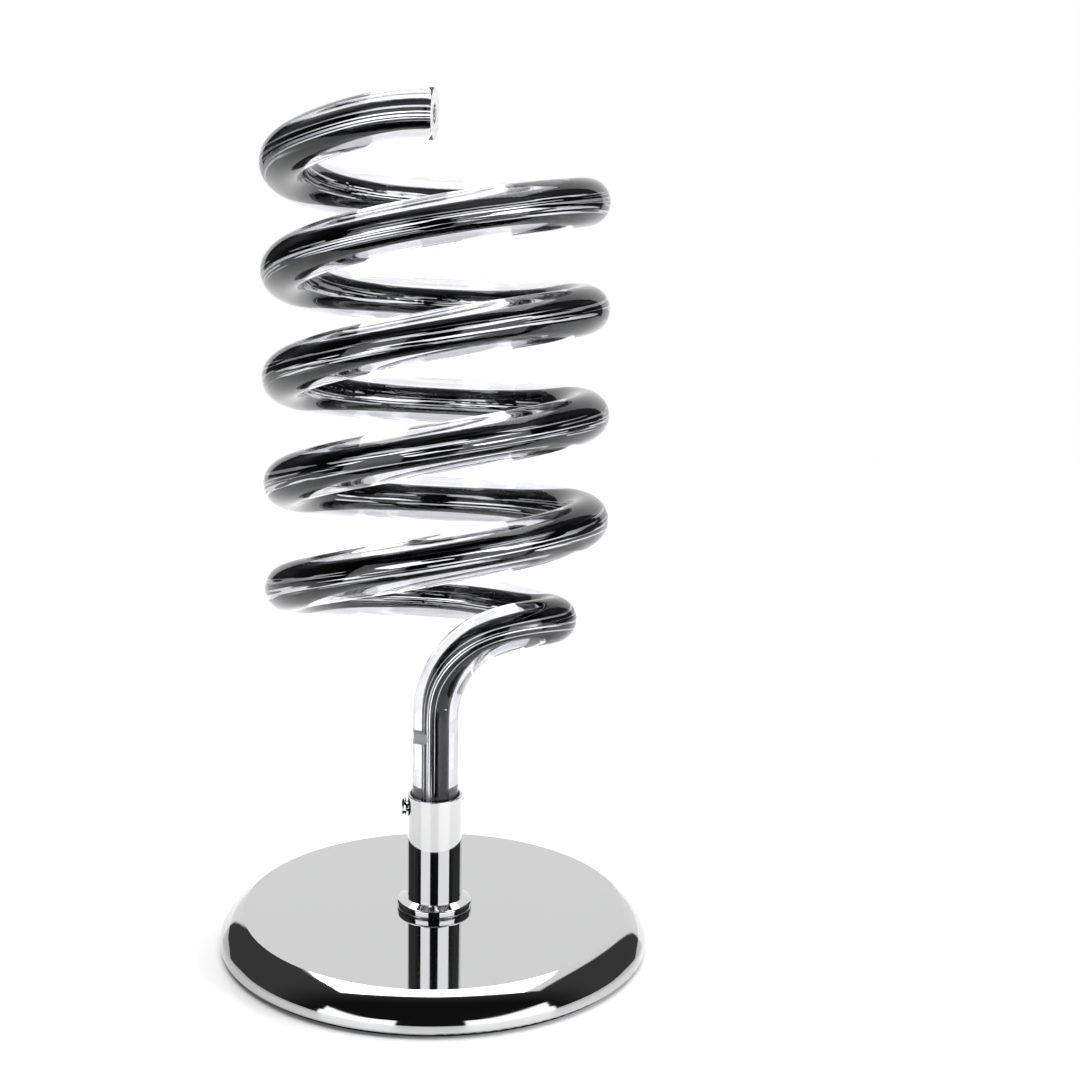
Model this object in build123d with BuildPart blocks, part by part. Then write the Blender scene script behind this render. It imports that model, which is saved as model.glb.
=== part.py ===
from build123d import *
import math
import os

# Table stand for a hair dryer. A coil of thick clear acrylic tube, with crinkled
# mirror film in its bore, stands in a polished socket on a weighted round base.
# Millimetres, +Z up. The origin is on the table under the socket's axis and -Y is
# the front.

# Base
base_d = 150.0  # over the rounded rim
base_h = 13.5  # table to flat top
rim_w = 8.1  # crisp edge of the flat top to the widest place
rim_z = 2.4  # height of the widest place
wall_r = 12.0  # almost upright wall above the widest place
wall_turn = 10.0  # degrees of it
nose_r = 5.0  # tight round between the wall and the shoulder
nose_turn = 17.0
lip_in = 1.2  # the rim turns in by this much at its lower edge
cover_t = 1.0
pad_t = 1.2
pad_inset = 1.0  # pad's edge inside the lip
weight_gap = 2.4  # weight to the inside of the lip
weight_edge_r = 6.0
weight_chamfer = 1.0
recess_gap = 2.0  # clamp washer to the wall of the pocket under the weight
recess_roof_z = 7.0
pass_gap = 0.2  # radial room where the socket passes through

# Coil
tube_d = 16.0
bore_d = 6.0
film_t = 0.4
film_gap = 0.05
coil_r = 50.0  # axis of the coil to centre of the tube
pitch = 35.0
steps_per_turn = 12
coil_steps = 55  # corners of the coil's centre-line, a little over four and a half turns
first_corner = -285.0  # degrees about the axis, counted from +X
coil_start_h = 41.1  # straight stem's top to the coil's axis at its first corner
tilt_x = 0.07  # rise of each turn's plane towards +X
tilt_y = -0.21  # rise of each turn's plane towards +Y
lean_x = -0.01  # drift of the axis for each millimetre of height
lean_y = 0.12
lean_h = 68.0  # the axis crosses the socket's axis this far above the stem's top
end_droop = 5.0  # the last corner hangs this far below the helix
end_spread = 4.7  # and stands this far out from it
arc_share = 0.49  # share of a run that each arc takes up at its two ends

# Socket and what holds the stem
socket_t = 0.9
mouth_round = 0.3
socket_end_gap = 0.3  # the tube's lower end stops short of the clamp washer
bush_t = 0.55
bush_h = 4.6
bush_drop = 4.2  # bush below the mouth
bush_foot_gap = 0.8  # bush to the foot at the highest setting
bush_hole_gap = 0.2  # radial room round the lock screw in the bush
run_gap = 0.05  # radial room of a running fit
foot_t = 2.0
foot_floor_gap = 0.4
spigot_l = 8.0
spigot_chamfer = 0.8
height_drop = 26.0  # lowest setting below this one, screw to locating hole
height_rise = 4.0  # highest setting above this one
locating_hole_d = 5.0
stem_spare = 0.5  # straight stem left above the mouth at the lowest setting
first_bend_h = 12.2  # straight stem's top to the first corner

# Lock screw, M4
screw_d = 4.0
screw_below_mouth = 4.9
head_d = 6.8
head_h = 1.8
head_gap = 0.4  # head to socket when the tip is home
hex_af = 2.5
hex_depth = 1.2
tip_d = 2.4
tip_out = 0.3
tip_seat = 1.2  # length of the tip inside the screw
tip_chamfer = 0.2

# Collar and clamp
collar_w = 3.6  # radial width of the ring
collar_h = 4.2
cone_h = 1.5
cone_w = 2.8
collar_round = 0.9
plug_h = 6.0
plug_gap = 0.5  # plug above the recess roof
bolt_d = 6.0
bolt_l = 8.0
bolt_head_d = 10.5
bolt_head_h = 3.3
bolt_hex_af = 4.0
bolt_hex_depth = 2.0
washer_d = 30.0
washer_t = 1.5
washer_chamfer = 0.3
lock_washer_d = 11.8
lock_washer_t = 1.0
split_w = 0.6
split_tilt = 30.0
end_chamfer = 0.4
thread_gap = 0.05

# Sizes that follow
flat_top_d = base_d - 2 * rim_w
lip_d = base_d - 2 * lip_in
weight_d = lip_d - 2 * (cover_t + weight_gap)
recess_d = washer_d + 2 * recess_gap
socket_id = tube_d + 2 * (run_gap + bush_t)
socket_od = socket_id + 2 * socket_t
collar_d = socket_od + 2 * collar_w
plug_z = recess_roof_z + plug_gap
stem_z = plug_z + plug_h + foot_floor_gap + foot_t + height_drop
mouth_z = stem_z + height_rise + bush_foot_gap + bush_h + bush_drop
screw_z = mouth_z - screw_below_mouth
stem_top_z = mouth_z + height_drop + stem_spare
washer_z = recess_roof_z - washer_t
lock_washer_z = washer_z - lock_washer_t
screw_end_x = tube_d / 2 + run_gap + tip_out

os.makedirs("parts", exist_ok=True)


def save(piece, name):
    piece.part.label = name
    export_step(piece.part, f"parts/{name}.step")


def coil_corner(step):
    """Corner of the centre-line's polygon; its sides touch the coil's own radius."""
    angle = math.radians(first_corner + step * 360 / steps_per_turn)
    corner_r = coil_r / math.cos(math.pi / steps_per_turn)
    x = corner_r * math.cos(angle)
    y = corner_r * math.sin(angle)
    rise = coil_start_h + pitch * step / steps_per_turn + tilt_x * x + tilt_y * y
    drift = rise - lean_h
    return Vector(x + lean_x * drift, y + lean_y * drift, stem_top_z + rise)


def centre_line(bottom_z):
    """Straight stem, three hand-set bends and the turns, as runs and tangent arcs."""
    stem = [Vector(0, 0, bottom_z), Vector(0, 0, stem_top_z + first_bend_h)]
    bends = [
        Vector(0.232 * coil_r, -0.162 * coil_r, stem_top_z + 33.2),
        Vector(0.734 * coil_r, -0.072 * coil_r, stem_top_z + 36.5),
        Vector(0.876 * coil_r, 0.410 * coil_r, stem_top_z + 30.8),
    ]
    corners = stem + bends + [coil_corner(step) for step in range(coil_steps + 1)]
    corners[-1] -= Vector(0, end_spread, end_droop)
    radii = []
    for before, corner, after in zip(corners, corners[1:], corners[2:]):
        half_turn = math.radians((corner - before).get_angle(after - corner)) / 2
        shorter = min((corner - before).length, (after - corner).length)
        radii.append(arc_share * shorter / math.tan(half_turn))
    corners[-1] = (corners[-2] + corners[-1]) / 2
    with BuildLine() as line:
        FilletPolyline(*corners, radius=radii)
    return line.wires()[0]


# Cover: spun stainless shell with a crisp flat top, a falling shoulder, a tight round,
# an almost upright wall and a lip that turns in under it.
with BuildPart() as base_cover:
    wall_centre = Vector(base_d / 2 - wall_r, rim_z)
    nose_centre = wall_centre + Vector(wall_r - nose_r, 0).rotate(Axis.Z, wall_turn)
    with BuildSketch(Plane.XZ):
        with BuildLine():
            Line((socket_od / 2 + pass_gap, base_h), (flat_top_d / 2, base_h))
            nose = CenterArc(nose_centre, nose_r, wall_turn, nose_turn)
            TangentArc(nose @ 1, (flat_top_d / 2, base_h), tangent=nose % 1)
            CenterArc(wall_centre, wall_r, 0, wall_turn)
            TangentArc((base_d / 2, rim_z), (lip_d / 2, pad_t), tangent=(0, -1))
            offset(amount=cover_t, side=Side.RIGHT)
        make_face()
    revolve(axis=Axis.Z)
save(base_cover, "base_cover")

# Weight: cast-iron disc that fills the cover and takes the clamp in a pocket below.
with BuildPart() as base_weight:
    with BuildSketch(Plane.XY.offset(pad_t)):
        Circle(weight_d / 2)
    extrude(amount=base_h - cover_t - pad_t)
    fillet(base_weight.edges().group_by(Axis.Z)[-1], radius=weight_edge_r)
    chamfer(base_weight.edges().group_by(Axis.Z)[0], length=weight_chamfer)
    with BuildSketch(Plane.XY.offset(pad_t)):
        Circle(recess_d / 2)
    extrude(amount=recess_roof_z - pad_t, mode=Mode.SUBTRACT)
    with BuildSketch(Plane.XY.offset(pad_t)):
        Circle(socket_od / 2 + pass_gap)
    extrude(amount=base_h, mode=Mode.SUBTRACT)
save(base_weight, "base_weight")

# Pad: black foam rubber glued under the weight, open in the middle for the bolt.
with BuildPart() as base_pad:
    with BuildSketch():
        Circle(lip_d / 2 - pad_inset)
        Circle(recess_d / 2 + pad_inset, mode=Mode.SUBTRACT)
    extrude(amount=pad_t)
save(base_pad, "base_pad")

# Socket: polished tube through the cover and the weight, cross-drilled for the screw.
with BuildPart() as socket_tube:
    with BuildSketch(Plane.XY.offset(recess_roof_z + socket_end_gap)):
        Circle(socket_od / 2)
        Circle(socket_id / 2, mode=Mode.SUBTRACT)
    extrude(amount=mouth_z - recess_roof_z - socket_end_gap)
    fillet(socket_tube.edges().group_by(Axis.Z)[-1], radius=mouth_round)
    with BuildSketch(Plane.YZ.offset(-socket_od)):
        with Locations((0, screw_z)):
            Circle(screw_d / 2 + run_gap)
    extrude(amount=socket_od, mode=Mode.SUBTRACT)
save(socket_tube, "socket_tube")

# Bush: black nylon ring pressed in below the mouth; the stem turns and slides in it.
with BuildPart() as socket_bush:
    with BuildSketch(Plane.XY.offset(mouth_z - bush_drop - bush_h)):
        Circle(socket_id / 2)
        Circle(socket_id / 2 - bush_t, mode=Mode.SUBTRACT)
    extrude(amount=bush_h)
    with BuildSketch(Plane.YZ.offset(-socket_od)):
        with Locations((0, screw_z)):
            Circle(screw_d / 2 + bush_hole_gap)
    extrude(amount=socket_od, mode=Mode.SUBTRACT)
save(socket_bush, "socket_bush")

# Plug: steel nut disc brazed into the socket's lower end.
with BuildPart() as socket_plug:
    with BuildSketch(Plane.XY.offset(plug_z)):
        Circle(socket_id / 2)
        Circle(bolt_d / 2 + thread_gap, mode=Mode.SUBTRACT)
    extrude(amount=plug_h)
save(socket_plug, "socket_plug")

# Collar: turned ring pressed on the socket; it seats on the flat top.
with BuildPart() as collar_ring:
    with BuildSketch(Plane.XY.offset(base_h)):
        Circle(collar_d / 2)
        Circle(socket_od / 2, mode=Mode.SUBTRACT)
    extrude(amount=collar_h)
    top_edge = collar_ring.edges().group_by(Axis.Z)[-1].sort_by(SortBy.RADIUS)[-1]
    top_face = collar_ring.faces().sort_by(Axis.Z)[-1]
    chamfer(top_edge, length=cone_w, length2=cone_h, reference=top_face)
    rims = collar_ring.edges().filter_by(GeomType.CIRCLE).sort_by(SortBy.RADIUS)[-2:]
    fillet(rims, radius=collar_round)
save(collar_ring, "collar_ring")

# Clamp washer: wide plain washer against the roof of the weight's pocket.
with BuildPart() as clamp_washer:
    with BuildSketch(Plane.XY.offset(washer_z)):
        Circle(washer_d / 2)
        Circle(bolt_d / 2 + pass_gap, mode=Mode.SUBTRACT)
    extrude(amount=washer_t)
    rims = clamp_washer.edges().filter_by(GeomType.CIRCLE).sort_by(SortBy.RADIUS)[-2:]
    chamfer(rims, length=washer_chamfer)
save(clamp_washer, "clamp_washer")

# Spring lock washer: one flattened turn with a slanted split.
with BuildPart() as lock_washer:
    with BuildSketch(Plane.XY.offset(lock_washer_z)):
        Circle(lock_washer_d / 2)
        Circle(bolt_d / 2 + pass_gap, mode=Mode.SUBTRACT)
    extrude(amount=lock_washer_t)
    with BuildSketch(Plane.YZ):
        with Locations((0, lock_washer_z + lock_washer_t / 2)):
            Rectangle(split_w, 4 * lock_washer_t, rotation=split_tilt)
    extrude(amount=lock_washer_d, mode=Mode.SUBTRACT)
save(lock_washer, "lock_washer")

# Clamp bolt: M6 button head with a hexagon socket, driven up into the plug.
with BuildPart() as clamp_bolt:
    bolt_end_z = lock_washer_z + bolt_l
    bolt_head_z = lock_washer_z - bolt_head_h
    with BuildSketch(Plane.XZ):
        with BuildLine():
            Polyline(
                (bolt_hex_af, bolt_head_z),
                (0, bolt_head_z),
                (0, bolt_end_z),
                (bolt_d / 2 - end_chamfer, bolt_end_z),
                (bolt_d / 2, bolt_end_z - end_chamfer),
                (bolt_d / 2, lock_washer_z),
                (bolt_head_d / 2, lock_washer_z),
            )
            TangentArc(
                (bolt_head_d / 2, lock_washer_z), (bolt_hex_af, bolt_head_z), tangent=(0, -1)
            )
        make_face()
    revolve(axis=Axis.Z)
    with BuildSketch(Plane.XY.offset(bolt_head_z)):
        RegularPolygon(bolt_hex_af / 2, 6, major_radius=False)
    extrude(amount=bolt_hex_depth, mode=Mode.SUBTRACT)
save(clamp_bolt, "clamp_bolt")

# Lock screw: M4 dome head through the socket's -X side, with a blind seat for its tip.
with BuildPart() as lock_screw:
    head_x = -socket_od / 2 - head_gap
    with BuildSketch(Plane.XY.offset(screw_z)):
        with BuildLine():
            Polyline(
                (head_x, screw_d / 2),
                (-screw_end_x - end_chamfer, screw_d / 2),
                (-screw_end_x, screw_d / 2 - end_chamfer),
                (-screw_end_x, 0),
                (head_x - head_h, 0),
                (head_x - head_h, hex_af / 2),
            )
            TangentArc(
                (head_x, head_d / 2), (head_x - head_h, hex_af / 2), tangent=(-1, 0)
            )
            Line((head_x, head_d / 2), (head_x, screw_d / 2))
        make_face()
    revolve(axis=Axis((0, 0, screw_z), (1, 0, 0)))
    with BuildSketch(Plane.YZ.offset(head_x - head_h)):
        with Locations((0, screw_z)):
            RegularPolygon(hex_af / 2, 6, major_radius=False)
    extrude(amount=hex_depth, mode=Mode.SUBTRACT)
    with BuildSketch(Plane.YZ.offset(-screw_end_x)):
        with Locations((0, screw_z)):
            Circle(tip_d / 2 + run_gap)
    extrude(amount=-tip_seat - run_gap, mode=Mode.SUBTRACT)
save(lock_screw, "lock_screw")

# Screw tip: nylon swivel pad that bears on the acrylic without turning.
with BuildPart() as screw_tip:
    with BuildSketch(Plane.YZ.offset(-screw_end_x - tip_seat)):
        with Locations((0, screw_z)):
            Circle(tip_d / 2)
    extrude(amount=tip_seat + tip_out)
    chamfer(screw_tip.edges().group_by(Axis.X)[-1], length=tip_chamfer)
save(screw_tip, "screw_tip")

# Stem foot: nylon thrust disc that slides in the socket; the coil turns on its spigot.
with BuildPart() as stem_foot:
    with BuildSketch(Plane.XY.offset(stem_z - foot_t)):
        Circle(socket_id / 2 - run_gap)
    extrude(amount=foot_t - run_gap)
    with BuildSketch(Plane.XY.offset(stem_z - foot_t)):
        Circle(bore_d / 2 - run_gap)
    extrude(amount=foot_t + spigot_l)
    chamfer(stem_foot.edges().group_by(Axis.Z)[-1], length=spigot_chamfer)
save(stem_foot, "stem_foot")

# Coil: clear acrylic tube, saw-cut at the top, with a locating hole in the stem.
with BuildPart() as coil_tube:
    with BuildSketch(Plane.XY.offset(stem_z)):
        Circle(tube_d / 2)
        Circle(bore_d / 2, mode=Mode.SUBTRACT)
    sweep(path=centre_line(stem_z))
    with BuildSketch(Plane.YZ.offset(-tube_d)):
        with Locations((0, screw_z + height_drop)):
            Circle(locating_hole_d / 2)
    extrude(amount=tube_d, mode=Mode.SUBTRACT)
save(coil_tube, "coil_tube")

# Mirror film: crinkled metallised film rolled into the bore, from the spigot up.
film_z = stem_z + spigot_l + 2 * film_gap
with BuildPart() as mirror_film:
    with BuildSketch(Plane.XY.offset(film_z)):
        Circle(bore_d / 2 - film_gap)
        Circle(bore_d / 2 - film_gap - film_t, mode=Mode.SUBTRACT)
    sweep(path=centre_line(film_z))
save(mirror_film, "mirror_film")
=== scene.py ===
import math

import bpy
from mathutils import Matrix, Vector, noise


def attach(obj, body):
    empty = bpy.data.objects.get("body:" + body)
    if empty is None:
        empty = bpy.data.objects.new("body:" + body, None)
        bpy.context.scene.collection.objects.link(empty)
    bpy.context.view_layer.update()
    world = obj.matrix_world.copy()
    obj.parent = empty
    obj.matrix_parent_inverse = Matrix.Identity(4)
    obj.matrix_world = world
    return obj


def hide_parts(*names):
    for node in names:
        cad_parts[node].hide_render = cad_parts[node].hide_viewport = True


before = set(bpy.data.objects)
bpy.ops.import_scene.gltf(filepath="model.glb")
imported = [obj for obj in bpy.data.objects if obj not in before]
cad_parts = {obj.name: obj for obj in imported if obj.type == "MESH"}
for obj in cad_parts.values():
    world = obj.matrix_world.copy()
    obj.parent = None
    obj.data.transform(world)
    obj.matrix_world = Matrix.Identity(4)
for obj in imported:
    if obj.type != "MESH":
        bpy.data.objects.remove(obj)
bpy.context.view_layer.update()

# Camera. A short telephoto in front of the stand, a little above the coil's top and
# turned a few degrees to its left side, so the base shows its whole flat top.
camera_lens = bpy.data.cameras.new("camera")
camera_lens.lens = 72.0
camera_lens.sensor_width = 36.0
camera = bpy.data.objects.new("camera", camera_lens)
camera_pitch = 0.249
camera_yaw = 0.0493
camera_roll = -0.0186
camera_place = (0, -0.70815, 0.32699)
camera_look = Vector((
    math.sin(camera_yaw) * math.cos(camera_pitch),
    math.cos(camera_yaw) * math.cos(camera_pitch),
    -math.sin(camera_pitch),
))
camera_level = Vector((math.cos(camera_yaw), -math.sin(camera_yaw), 0))
camera_up = camera_level.cross(camera_look)
camera_side = camera_level * math.cos(camera_roll) - camera_up * math.sin(camera_roll)
camera_top = camera_level * math.sin(camera_roll) + camera_up * math.cos(camera_roll)
camera_axes = Matrix((camera_side, camera_top, -camera_look)).transposed()
camera.matrix_world = Matrix.Translation(camera_place) @ camera_axes.to_4x4()
bpy.context.scene.collection.objects.link(camera)
bpy.context.scene.camera = camera
bpy.context.scene.view_settings.view_transform = "Standard"

# Table. A white laminate top, a little glossy, that ends in front of the stand; its
# own paleness and the studio behind it run together.
table_front = -0.155
table_corners = ((-0.9, table_front), (0.9, table_front), (0.9, 0.8), (-0.9, 0.8))
table_mesh = bpy.data.meshes.new("table_top")
table_mesh.from_pydata([(x, y, 0) for x, y in table_corners], [], [(0, 1, 2, 3)])
table_top = bpy.data.objects.new("table_top", table_mesh)
bpy.context.scene.collection.objects.link(table_top)


def set_up(name):
    """A material with its node tree and its Principled shader."""
    made = bpy.data.materials.new(name)
    made.use_nodes = True
    return made, made.node_tree, made.node_tree.nodes["Principled BSDF"]


laminate, tree, laminate_shader = set_up("white_laminate")
laminate_shader.inputs["Base Color"].default_value = (0.95, 0.95, 0.95, 1)
laminate_shader.inputs["Roughness"].default_value = 0.2
table_mesh.materials.append(laminate)

# Studio. White walls behind and above that fall off to the sides, a dark room in front
# with two tall soft boxes, and one wide soft light overhead. The camera sees white.
studio = bpy.data.worlds.new("studio")
studio.use_nodes = True
bpy.context.scene.world = studio
room = studio.node_tree
room.nodes.clear()
degree = math.pi / 180


def reckon(tree, operation, first, second=None, third=None):
    """A math node on numbers or other nodes' outputs, and its result."""
    node = tree.nodes.new("ShaderNodeMath")
    node.operation = operation
    for socket, value in zip(node.inputs, (first, second, third)):
        if isinstance(value, (int, float)):
            socket.default_value = value
        elif value is not None:
            tree.links.new(value, socket)
    return node.outputs[0]


def passage(tree, value, start, end, first, second):
    """A smooth passage from first to second while value goes from start to end."""
    node = tree.nodes.new("ShaderNodeMapRange")
    node.interpolation_type = "SMOOTHSTEP"
    node.inputs["From Min"].default_value = start
    node.inputs["From Max"].default_value = end
    node.inputs["To Min"].default_value = first
    node.inputs["To Max"].default_value = second
    tree.links.new(value, node.inputs["Value"])
    return node.outputs[0]


def edge(value, at, softness):
    """0 below a level of value, 1 above it."""
    return passage(room, value, at - softness, at + softness, 0, 1)


facing = room.nodes.new("ShaderNodeTexCoord")
facing_xyz = room.nodes.new("ShaderNodeSeparateXYZ")
room.links.new(facing.outputs["Generated"], facing_xyz.inputs[0])
rightward = facing_xyz.outputs["X"]
forward = reckon(room, "MULTIPLY", facing_xyz.outputs["Y"], -1.0)
upward = facing_xyz.outputs["Z"]
turn = reckon(room, "ARCTAN2", rightward, forward)
height = reckon(room, "ARCSINE", upward)

# The dark is everything in front of the overhead light, and both sides as far as the
# ends of the white back wall.
front_dark = edge(forward, 0.13, 0.02)
side_dark = edge(reckon(room, "ABSOLUTE", reckon(room, "SUBTRACT", rightward, 0.05)), 0.57, 0.015)
low_enough = edge(reckon(room, "MULTIPLY", upward, -1.0), -0.985, 0.01)
dark_room = reckon(room, "MULTIPLY", reckon(room, "MAXIMUM", front_dark, side_dark), low_enough)
dark_level = passage(room, forward, -0.1, 0.45, 0.055, 0.008)


def soft_box(left, right, bottom, top):
    """1 on an upright soft box, by its sides and ends in degrees."""
    soft = 1 * degree
    sides = reckon(
        room,
        "MULTIPLY",
        edge(turn, left * degree, soft),
        reckon(room, "SUBTRACT", 1.0, edge(turn, right * degree, soft)),
    )
    ends = reckon(
        room,
        "MULTIPLY",
        edge(height, bottom * degree, soft),
        reckon(room, "SUBTRACT", 1.0, edge(height, top * degree, soft)),
    )
    return reckon(room, "MULTIPLY", sides, ends)


# The boxes are brighter for light that a mirrored surface sends through the clear tube,
# so that the film's painted highlight streaks show white through it.
box_strength = 1.65
added_through_tube = 4.0
boxes = reckon(room, "ADD", soft_box(-60, -19, -30, 29), soft_box(16, 64, -30, 30))
surroundings = room.nodes.new("ShaderNodeMix")
room.links.new(dark_room, surroundings.inputs["Factor"])
surroundings.inputs["A"].default_value = 1.0
room.links.new(dark_level, surroundings.inputs["B"])
seen = room.nodes.new("ShaderNodeLightPath")
passed = seen.outputs["Transmission Depth"]
mirrored = seen.outputs["Glossy Depth"]
through = reckon(room, "MINIMUM", reckon(room, "MULTIPLY", passed, mirrored), 1.0)
box_level = reckon(room, "MULTIPLY_ADD", through, added_through_tube, box_strength)
level = reckon(room, "MULTIPLY_ADD", boxes, box_level, surroundings.outputs["Result"])
level = reckon(room, "MAXIMUM", level, seen.outputs["Is Camera Ray"])
glow = room.nodes.new("ShaderNodeBackground")
glow.inputs["Color"].default_value = (1, 1, 1, 1)
room.links.new(level, glow.inputs["Strength"])
room_out = room.nodes.new("ShaderNodeOutputWorld")
room.links.new(glow.outputs[0], room_out.inputs["Surface"])

overhead_light = bpy.data.lights.new("overhead", "AREA")
overhead_light.shape = "RECTANGLE"
overhead_light.size = 2.2
overhead_light.size_y = 1.4
overhead_light.energy = 32
overhead = bpy.data.objects.new("overhead", overhead_light)
overhead.location = (0, 0.35, 1.7)
bpy.context.scene.collection.objects.link(overhead)

# A soft light from the right reaches only matt surfaces, such as the sawn end of the tube.
right_light = bpy.data.lights.new("from_the_right", "AREA")
right_light.size = 0.5
right_light.energy = 7
from_the_right = bpy.data.objects.new("from_the_right", right_light)
from_the_right.location = (0.9, -0.3, 0.5)
from_the_right.rotation_euler = (0, 75 * degree, 0)
from_the_right.visible_glossy = False
from_the_right.visible_transmission = False
bpy.context.scene.collection.objects.link(from_the_right)

# Base cover. Stainless sheet spun into a shallow dish with a rolled rim, then buffed
# to a mirror; the buffing leaves a very faint haze and concentric lines.


def give(node_name, material):
    """Puts one material on a piece that keeps its own shape."""
    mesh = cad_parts[node_name].data
    mesh.materials.clear()
    mesh.materials.append(material)
    for face in mesh.polygons:
        face.material_index = 0


def haze(tree, shader, low, high, scale):
    """Cloudy variation of a finish between two roughnesses."""
    place = tree.nodes.new("ShaderNodeTexCoord")
    cloud = tree.nodes.new("ShaderNodeTexNoise")
    cloud.inputs["Scale"].default_value = scale
    cloud.inputs["Detail"].default_value = 4
    spread = tree.nodes.new("ShaderNodeMapRange")
    spread.inputs["To Min"].default_value = low
    spread.inputs["To Max"].default_value = high
    tree.links.new(place.outputs["Object"], cloud.inputs["Vector"])
    tree.links.new(cloud.outputs["Fac"], spread.inputs["Value"])
    tree.links.new(spread.outputs[0], shader.inputs["Roughness"])
    return place


def grain(tree, shader, place, scale, depth, strength):
    """Fine bump over a surface, in metres of depth."""
    grit = tree.nodes.new("ShaderNodeTexNoise")
    grit.inputs["Scale"].default_value = scale
    grit.inputs["Detail"].default_value = 5
    bump = tree.nodes.new("ShaderNodeBump")
    bump.inputs["Distance"].default_value = depth
    bump.inputs["Strength"].default_value = strength
    tree.links.new(place.outputs["Object"], grit.inputs["Vector"])
    tree.links.new(grit.outputs["Fac"], bump.inputs["Height"])
    tree.links.new(bump.outputs[0], shader.inputs["Normal"])


buffed_steel, tree, shader = set_up("buffed_steel")
shader.inputs["Metallic"].default_value = 1
shader.inputs["Base Color"].default_value = (0.61, 0.61, 0.615, 1)
haze(tree, shader, 0.02, 0.07, 40)
give("base_cover", buffed_steel)

# Weight. A cast-iron disc, dipped in dark primer, with the pitted skin that sand
# moulding leaves. It fills the cover from below.
iron, tree, shader = set_up("primed_iron")
shader.inputs["Base Color"].default_value = (0.045, 0.046, 0.05, 1)
place = haze(tree, shader, 0.5, 0.8, 90)
grain(tree, shader, place, 900, 0.0004, 0.6)
give("base_weight", iron)

# Pad. A ring of closed-cell foam rubber glued under the weight, so the base neither
# slides nor scratches the table.
foam, tree, shader = set_up("foam_rubber")
shader.inputs["Base Color"].default_value = (0.012, 0.012, 0.013, 1)
place = haze(tree, shader, 0.75, 0.95, 300)
grain(tree, shader, place, 2600, 0.0002, 0.7)
give("base_pad", foam)

# Socket, collar and lock screw. Drawn tube, a turned ring pressed on it and a dome-head
# screw, all polished and bright chrome plated. The tube's bore keeps a pale satin skin,
# which shows through the clear stem at the mouth.
plate, tree, shader = set_up("bright_chrome")
shader.inputs["Metallic"].default_value = 1
shader.inputs["Base Color"].default_value = (0.66, 0.66, 0.665, 1)
haze(tree, shader, 0.015, 0.05, 120)
give("socket_tube", plate)
give("collar_ring", plate)
give("lock_screw", plate)
bore_skin, tree, shader = set_up("satin_bore")
shader.inputs["Base Color"].default_value = (0.86, 0.86, 0.87, 1)
haze(tree, shader, 0.45, 0.6, 200)
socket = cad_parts["socket_tube"]
socket.data.materials.append(bore_skin)
socket_bore = 0.0087
for face in socket.data.polygons:
    spot = socket.matrix_world @ face.center
    if math.hypot(spot.x, spot.y) < socket_bore:
        face.material_index = 1

# Bush, foot and screw tip. Moulded and turned nylon: the bush is black, the foot and
# the tip are left in nylon's own milky white.


def nylon(name, color):
    made, tree, shader = set_up(name)
    shader.inputs["Base Color"].default_value = color
    shader.inputs["Subsurface Weight"].default_value = 0.05
    place = haze(tree, shader, 0.4, 0.55, 400)
    grain(tree, shader, place, 3000, 0.00005, 0.4)
    return made


give("socket_bush", nylon("black_nylon", (0.01, 0.01, 0.011, 1)))
white_nylon = nylon("white_nylon", (0.80, 0.79, 0.75, 1))
give("stem_foot", white_nylon)
give("screw_tip", white_nylon)

# Clamp. Zinc-plated plug, wide washer, spring washer and button-head bolt that pull
# the socket down on the base from below.
zinc, tree, shader = set_up("zinc_plate")
shader.inputs["Metallic"].default_value = 1
shader.inputs["Base Color"].default_value = (0.60, 0.61, 0.63, 1)
place = haze(tree, shader, 0.22, 0.38, 500)
grain(tree, shader, place, 1500, 0.00005, 0.3)
for clamp_piece in ("socket_plug", "clamp_washer", "lock_washer", "clamp_bolt"):
    give(clamp_piece, zinc)

# Acrylic coil. One length of clear tube, heated and wound on a former, with a straight
# stem that goes into the socket; the top end is a plain saw cut.
millimetre = 0.001
tube_radius = 8.0
bore_radius = 3.0
coil_radius = 50.0
coil_pitch = 35.0
corners_per_turn = 12
coil_corners = 56
first_corner = -285.0  # degrees about the axis, counted from +X
coil_start_height = 41.1  # straight stem's top to the coil's axis at its first corner
tilt_x = 0.07  # rise of each turn's plane towards +X
tilt_y = -0.21
lean_x = -0.01  # drift of the axis for each millimetre of height
lean_y = 0.12
lean_height = 68.0  # the axis crosses the socket's axis this far above the stem's top
end_spread = 2.35
end_droop = 2.68
stem_foot_top = 41.9
stem_straight_top = 82.0


def coil_corner(step):
    """Corner of the guide polygon round one turn, which a smooth spline cuts inside."""
    corner_turn = math.radians(first_corner + step * 360 / corners_per_turn)
    reach = coil_radius * 3 / (2 + math.cos(math.tau / corners_per_turn))
    x = reach * math.cos(corner_turn)
    y = reach * math.sin(corner_turn)
    climb = coil_start_height + coil_pitch * step / corners_per_turn
    rise = climb + tilt_x * x + tilt_y * y
    drift = rise - lean_height
    return Vector((x + lean_x * drift, y + lean_y * drift, stem_straight_top + rise))


# The guide goes straight up the stem and through three given corners into the
# coil. Its last point stands out from the helix and hangs a little below it.
guide = [Vector((0, 0, z)) for z in (stem_foot_top, 52.0, 66.0, 80.0, 94.2)]
first_bend = Vector((11.7, -8.9, 116.3))
guide += [first_bend, Vector((37.8, -5.2, 119.6)), Vector((45.6, 21.6, 112.6))]
guide += [coil_corner(step) for step in range(coil_corners)]
guide[-1] = (guide[-2] + guide[-1]) / 2 - Vector((0, end_spread, end_droop))

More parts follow.
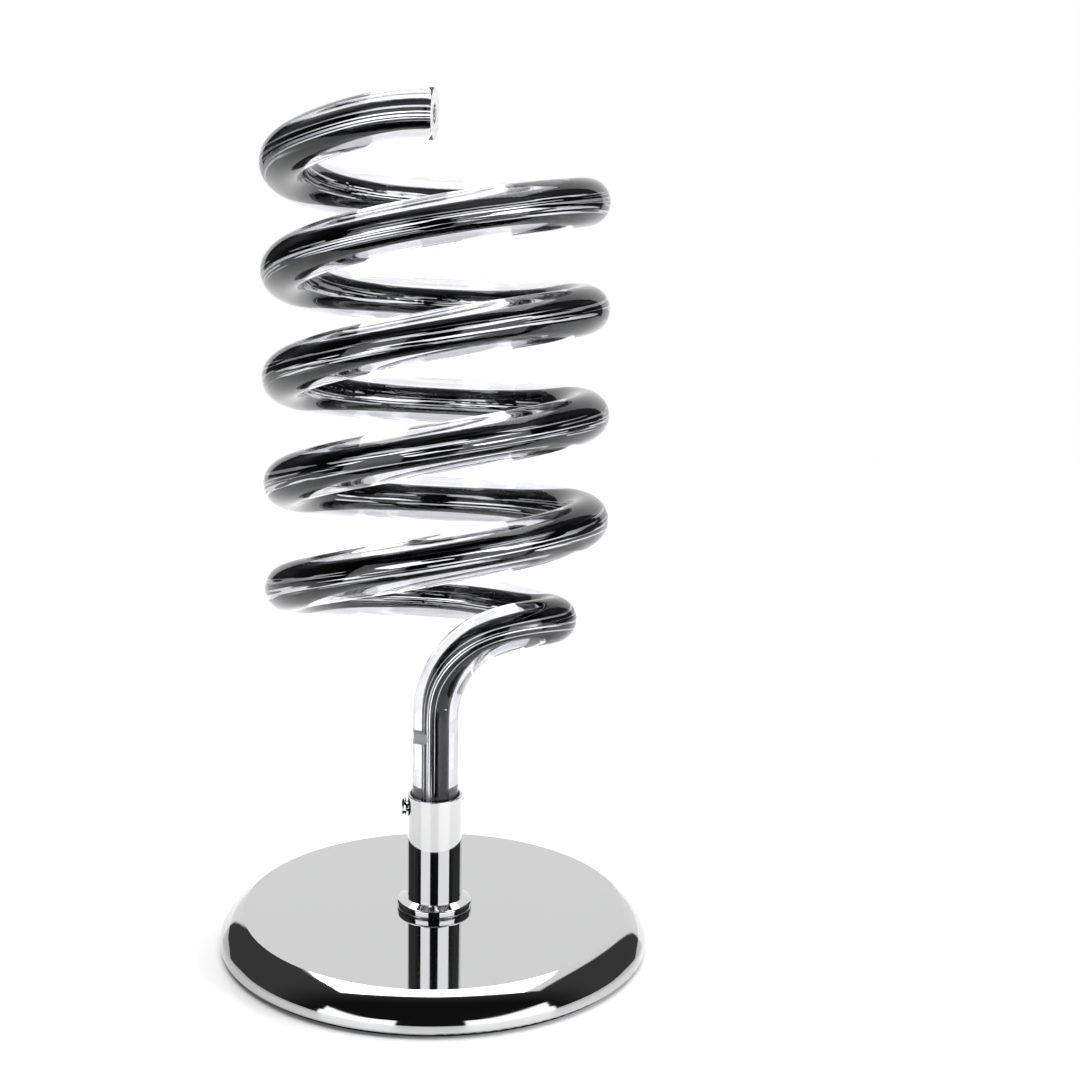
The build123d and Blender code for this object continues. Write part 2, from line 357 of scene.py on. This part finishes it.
wire = bpy.data.curves.new("coil_guide", "CURVE")
wire.dimensions = "3D"
spline = wire.splines.new("NURBS")
spline.points.add(len(guide) - 1)
for point, place in zip(spline.points, guide):
    point.co = (*(place * millimetre), 1)
spline.order_u = 4
spline.use_endpoint_u = True
spline.resolution_u = 20
wire_object = bpy.data.objects.new("coil_guide", wire)
bpy.context.scene.collection.objects.link(wire_object)
bpy.context.view_layer.update()
wire_mesh = bpy.data.meshes.new_from_object(wire_object)
centre = [vertex.co.copy() for vertex in wire_mesh.vertices]
bpy.data.objects.remove(wire_object)


def frames_along(points):
    """For each point: place, distance along, upper and other axis, pull of the bend."""
    rows = []
    upper = -Vector((first_bend.x, first_bend.y, 0)).normalized()
    travelled = 0.0
    for index, point in enumerate(points):
        before = points[max(index - 1, 0)]
        after = points[min(index + 1, len(points) - 1)]
        ahead = (after - before).normalized()
        rise = Vector((0, 0, 1)) - ahead * ahead.z
        if rise.length > 0.05:
            upper = rise.normalized()
        travelled += (point - before).length
        arriving = (point - before).normalized()
        leaving = (after - point).normalized()
        reach = max((after - before).length / 2, millimetre)
        pull = (leaving - arriving) / reach
        rows.append((point, travelled, upper, ahead.cross(upper), pull))
    return rows


def wrap(rows, sides, radius_at):
    """A tube skin round the rows: its points, their film_place and its faces."""
    points, places, faces = [], [], []
    for row in rows:
        point, travelled, upper, other, pull = row
        for number in range(sides):
            angle = math.tau * number / sides
            across = upper * math.cos(angle) + other * math.sin(angle)
            radius = radius_at(travelled, angle, across.dot(pull))
            points.append(point + across * radius)
            places.append((travelled, radius * math.cos(angle), radius * math.sin(angle)))
    for ring in range(len(rows) - 1):
        for number in range(sides):
            here = ring * sides + number
            beside = ring * sides + (number + 1) % sides
            faces.append((here, beside, beside + sides, here + sides))
    return points, places, faces


rows = frames_along(centre)
tube_rows = rows[::2] if len(rows) % 2 else rows[::2] + rows[-1:]
around = 48
outer, _, outer_faces = wrap(tube_rows, around, lambda *_: tube_radius * millimetre)
inner, _, inner_faces = wrap(tube_rows, around, lambda *_: bore_radius * millimetre)
shift = len(outer)
last_ring = (len(tube_rows) - 1) * around
skin = outer_faces + [
    tuple(corner + shift for corner in reversed(face)) for face in inner_faces
]
end_faces = []
for number in range(around):
    following = (number + 1) % around
    end_faces.append((following, number, number + shift, following + shift))
    here, beside = last_ring + number, last_ring + following
    end_faces.append((here, beside, beside + shift, here + shift))
tube_mesh = bpy.data.meshes.new("acrylic_coil")
tube_mesh.from_pydata(outer + inner, [], skin + end_faces)
tube_mesh.shade_smooth()
for face in tube_mesh.polygons[len(skin):]:
    face.use_smooth = False
    face.material_index = 1

acrylic, tree, shader = set_up("clear_acrylic")
# A faint lavender tint of the acrylic's own, greyed to about two thirds, far below clear acrylic:
# the grey is painted shade on the tube's clear bands.
shader.inputs["Base Color"].default_value = (0.67, 0.665, 0.71, 1)
shader.inputs["Transmission Weight"].default_value = 1
shader.inputs["IOR"].default_value = 1.49
shader.inputs["Roughness"].default_value = 0.0
tube_mesh.materials.append(acrylic)

saw_cut, tree, shader = set_up("saw_cut_acrylic")
shader.inputs["Base Color"].default_value = (0.97, 0.97, 0.98, 1)
shader.inputs["Transmission Weight"].default_value = 0.35
shader.inputs["IOR"].default_value = 1.49
place = haze(tree, shader, 0.3, 0.6, 900)
grain(tree, shader, place, 2500, 0.0003, 0.8)
tube_mesh.materials.append(saw_cut)

acrylic_coil = bpy.data.objects.new("acrylic_coil", tube_mesh)
bpy.context.scene.collection.objects.link(acrylic_coil)

# The locating hole is drilled through one wall of the stem, and its wall is left matt.
hole_radius = 2.5
hole_height = 76.6
hole_sides = 32
hole_points, hole_faces = [], []
for x in (-1.5 * tube_radius, 0):
    for number in range(hole_sides):
        angle = math.tau * number / hole_sides
        y = hole_radius * math.cos(angle)
        z = hole_height + hole_radius * math.sin(angle)
        hole_points.append(Vector((x, y, z)) * millimetre)
for number in range(hole_sides):
    following = (number + 1) % hole_sides
    hole_faces.append((number, following, following + hole_sides, number + hole_sides))
hole_faces.append(tuple(range(hole_sides - 1, -1, -1)))
hole_faces.append(tuple(range(hole_sides, 2 * hole_sides)))
drill_mesh = bpy.data.meshes.new("drill")
drill_mesh.from_pydata(hole_points, [], hole_faces)
drill_mesh.materials.append(acrylic)
drill_mesh.materials.append(saw_cut)
for face in drill_mesh.polygons:
    face.material_index = 1
drill = bpy.data.objects.new("drill", drill_mesh)
bpy.context.scene.collection.objects.link(drill)
drilling = acrylic_coil.modifiers.new("locating_hole", "BOOLEAN")
drilling.operation = "DIFFERENCE"
drilling.object = drill
drilling.solver = "EXACT"
bpy.context.view_layer.update()
seen_by = bpy.context.evaluated_depsgraph_get()
acrylic_coil.data = bpy.data.meshes.new_from_object(acrylic_coil.evaluated_get(seen_by))
acrylic_coil.modifiers.clear()
bpy.data.objects.remove(drill)
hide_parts("coil_tube")
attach(acrylic_coil, "coil")

# Mirror film. Metallised polyester rolled up and drawn through the bore before the tube
# was bent: it clings to the wall in flutes, and puckers inside the bends. Its dark wall
# and bright streaks are painted reflection in its base colour: near black for the dark
# room it would mirror, white for the soft boxes.
film_bottom = 50.3
film_sides = 72
into_wall = 0.10  # the film lies this far into the tube's wall, so no air shows between
flute_depth = 0.06
crease_depth = 0.02
pucker_depth = 0.35
film_start = film_bottom * millimetre - stem_foot_top * millimetre
film_rows = [row for row in rows if row[1] > film_start]
film_length = rows[-1][1]


def film_radius(travelled, angle, pull):
    """Bore wall, with flutes that run along it and puckers on the inside of a bend."""
    x, y = math.cos(angle), math.sin(angle)
    flute = noise.noise(Vector((travelled * 25, x * 3.4, y * 3.4)))
    crease = noise.noise(Vector((travelled * 130, x * 7.0, y * 7.0)))
    pucker = noise.noise(Vector((travelled * 420, x * 2.0, y * 2.0)))
    inside = min(max(pull * coil_radius * millimetre - 0.5, 0), 0.5)
    lift = into_wall + flute_depth * flute + crease_depth * crease
    lift -= pucker_depth * inside * abs(pucker)
    return (bore_radius + lift) * millimetre


film, film_place, film_faces = wrap(film_rows, film_sides, film_radius)
film_mesh = bpy.data.meshes.new("crinkled_film")
bottom_end = tuple(range(film_sides - 1, -1, -1))
top_end = tuple(range(len(film) - film_sides, len(film)))
film_mesh.from_pydata(film, [], film_faces + [bottom_end, top_end])
film_mesh.shade_smooth()
where = film_mesh.attributes.new("film_place", "FLOAT_VECTOR", "POINT")
where.data.foreach_set("vector", [value for place in film_place for value in place])

foil, tree, shader = set_up("mirror_film")
shader.inputs["Metallic"].default_value = 1
film_at = tree.nodes.new("ShaderNodeAttribute")
film_at.attribute_name = "film_place"


def stretched(along, around, detail):
    """Noise drawn out along the film, in cells per metre along and around it."""
    stretch = tree.nodes.new("ShaderNodeMapping")
    stretch.inputs["Scale"].default_value = (along, around, around)
    cells = tree.nodes.new("ShaderNodeTexNoise")
    cells.inputs["Scale"].default_value = 1
    cells.inputs["Detail"].default_value = detail
    tree.links.new(film_at.outputs["Vector"], stretch.inputs["Vector"])
    tree.links.new(stretch.outputs[0], cells.inputs["Vector"])
    return cells.outputs["Fac"]


# Painted highlights: white streaks of painted reflection run along the roll's two sides,
# and the film above and below them is painted dark, the dark room's reflection. They
# are whole in the stem and near the top end, and broken into dashes in between.
film_xyz = tree.nodes.new("ShaderNodeSeparateXYZ")
tree.links.new(film_at.outputs["Vector"], film_xyz.inputs[0])
along, up_side = film_xyz.outputs["X"], film_xyz.outputs["Y"]
bore = bore_radius * millimetre
flank = reckon(
    tree,
    "MULTIPLY",
    passage(tree, up_side, -0.66 * bore, -0.52 * bore, 0, 1),
    passage(tree, up_side, 0.60 * bore, 0.74 * bore, 1, 0),
)
whole = passage(tree, stretched(5, 1900, 0), 0.51, 0.535, 0, 1)
fine = passage(tree, stretched(12, 2500, 0), 0.49, 0.515, 0, 1)
breaks = passage(tree, stretched(60, 1700, 0), 0.43, 0.46, 0, 1)
broken = reckon(tree, "MULTIPLY", fine, breaks)
whole_below, broken_above = 0.085, 0.12
broken_before, whole_after = film_length - 0.075, film_length - 0.045
wound = reckon(
    tree,
    "MULTIPLY",
    passage(tree, along, whole_below, broken_above, 0, 1),
    passage(tree, along, broken_before, whole_after, 1, 0),
)
painted_streaks = tree.nodes.new("ShaderNodeMix")
tree.links.new(wound, painted_streaks.inputs["Factor"])
tree.links.new(whole, painted_streaks.inputs["A"])
tree.links.new(broken, painted_streaks.inputs["B"])
bright = reckon(tree, "MULTIPLY", painted_streaks.outputs["Result"], flank)
# Painted reflection: the base colour runs from near black, for the dark room, to white, for the
# soft boxes, over the painted highlight streaks.
painted_reflection = tree.nodes.new("ShaderNodeMix")
painted_reflection.data_type = "RGBA"
painted_reflection.inputs["A"].default_value = (0.012, 0.012, 0.013, 1)
painted_reflection.inputs["B"].default_value = (1.0, 1.0, 1.0, 1)
tree.links.new(bright, painted_reflection.inputs["Factor"])
tree.links.new(painted_reflection.outputs["Result"], shader.inputs["Base Color"])
tree.links.new(passage(tree, bright, 0, 1, 0.12, 0.42), shader.inputs["Roughness"])

wrinkle = tree.nodes.new("ShaderNodeBump")
wrinkle.inputs["Distance"].default_value = 0.00012
wrinkle.inputs["Strength"].default_value = 1.0
tree.links.new(stretched(25, 900, 0), wrinkle.inputs["Height"])
tree.links.new(wrinkle.outputs[0], shader.inputs["Normal"])
film_mesh.materials.append(foil)

crinkled_film = bpy.data.objects.new("crinkled_film", film_mesh)
bpy.context.scene.collection.objects.link(crinkled_film)
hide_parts("mirror_film")
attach(crinkled_film, "coil")

bpy.context.view_layer.update()
